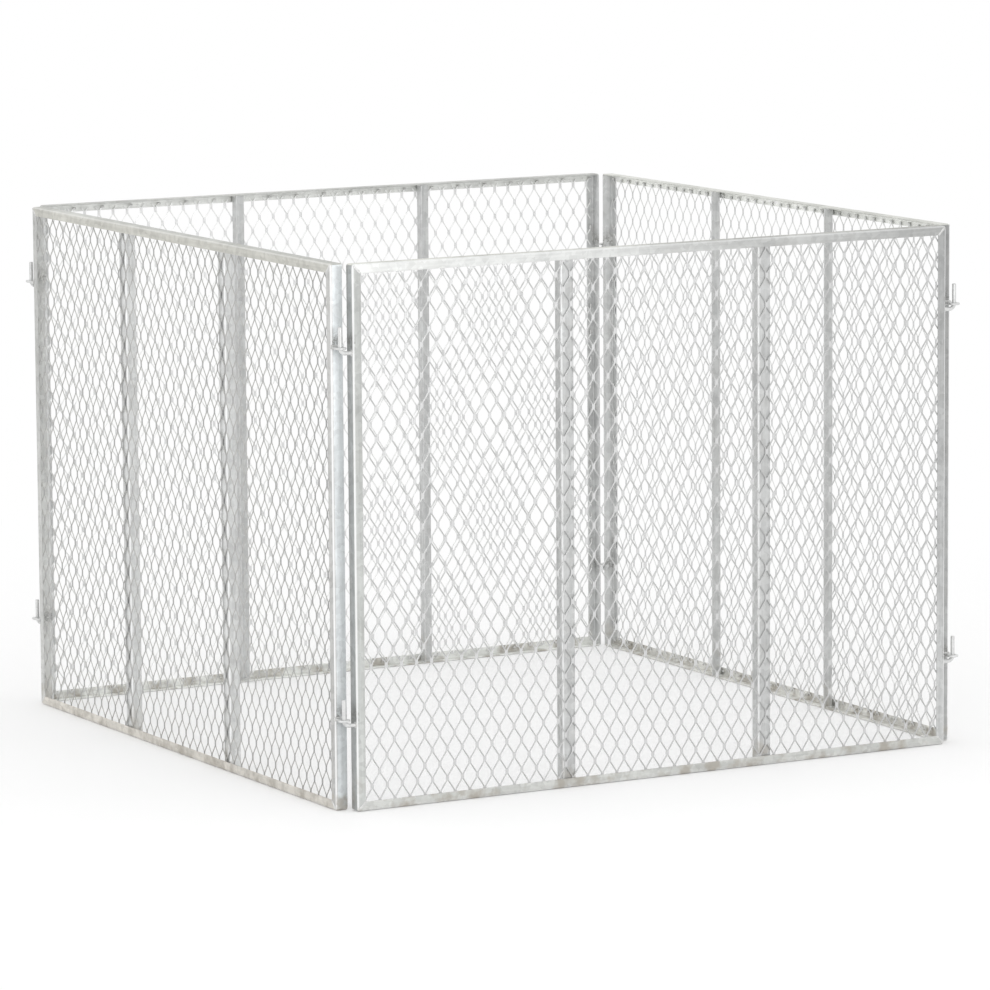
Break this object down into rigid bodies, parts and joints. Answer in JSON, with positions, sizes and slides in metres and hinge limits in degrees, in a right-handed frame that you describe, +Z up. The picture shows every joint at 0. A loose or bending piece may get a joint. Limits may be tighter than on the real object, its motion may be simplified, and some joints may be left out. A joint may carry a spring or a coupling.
{
  "type": "metal compost bin",
  "caption": "Open square garden compost bin of galvanised angle frames filled with expanded metal, hooked together at the corners so that the side panels lift off.",
  "frame": {"origin": "on the ground at the middle of the bin", "axes": "+Z up, +X along the front panel to the right as seen from the front, +Y from the front panel to the back panel"},
  "size_m": [1.007, 1.007, 0.75],
  "materials": {
    "galvanised_angle": "galvanised steel angle, pale matt grey with soft zinc mottling",
    "galvanised_expanded_metal": "galvanised expanded steel, mid grey strands with brighter joins",
    "galvanised_rod": "galvanised steel rod and plate, smooth mid grey"
  },
  "bodies": {
    "front_and_back_panels": {"front_top_rail": "galvanised_angle", "front_bottom_rail": "galvanised_angle", "front_left_stile": "galvanised_angle", "front_right_stile": "galvanised_angle", "front_expanded_metal": "galvanised_expanded_metal", "front_left_strut": "galvanised_angle", "front_right_strut": "galvanised_angle", "front_left_lower_hook": "galvanised_rod", "front_left_upper_hook": "galvanised_rod", "front_right_lower_hook": "galvanised_rod", "front_right_upper_hook": "galvanised_rod", "back_top_rail": "galvanised_angle", "back_bottom_rail": "galvanised_angle", "back_right_stile": "galvanised_angle", "back_left_stile": "galvanised_angle", "back_expanded_metal": "galvanised_expanded_metal", "back_right_strut": "galvanised_angle", "back_left_strut": "galvanised_angle", "back_right_lower_hook": "galvanised_rod", "back_right_upper_hook": "galvanised_rod", "back_left_lower_hook": "galvanised_rod", "back_left_upper_hook": "galvanised_rod"},
    "left_panel": {"left_top_rail": "galvanised_angle", "left_bottom_rail": "galvanised_angle", "left_rear_stile": "galvanised_angle", "left_front_stile": "galvanised_angle", "left_expanded_metal": "galvanised_expanded_metal", "left_rear_strut": "galvanised_angle", "left_front_strut": "galvanised_angle", "left_rear_lower_eye": "galvanised_rod", "left_rear_upper_eye": "galvanised_rod", "left_front_lower_eye": "galvanised_rod", "left_front_upper_eye": "galvanised_rod"},
    "right_panel": {"right_top_rail": "galvanised_angle", "right_bottom_rail": "galvanised_angle", "right_front_stile": "galvanised_angle", "right_rear_stile": "galvanised_angle", "right_expanded_metal": "galvanised_expanded_metal", "right_front_strut": "galvanised_angle", "right_rear_strut": "galvanised_angle", "right_front_lower_eye": "galvanised_rod", "right_front_upper_eye": "galvanised_rod", "right_rear_lower_eye": "galvanised_rod", "right_rear_upper_eye": "galvanised_rod"}
  },
  "joints": [
    {"name": "left_panel_lift", "type": "slide", "parent": "front_and_back_panels", "child": "left_panel", "axis": [0, 0, 1], "range_m": [0, 0.48]},
    {"name": "right_panel_lift", "type": "slide", "parent": "front_and_back_panels", "child": "right_panel", "axis": [0, 0, 1], "range_m": [0, 0.48]}
  ]
}
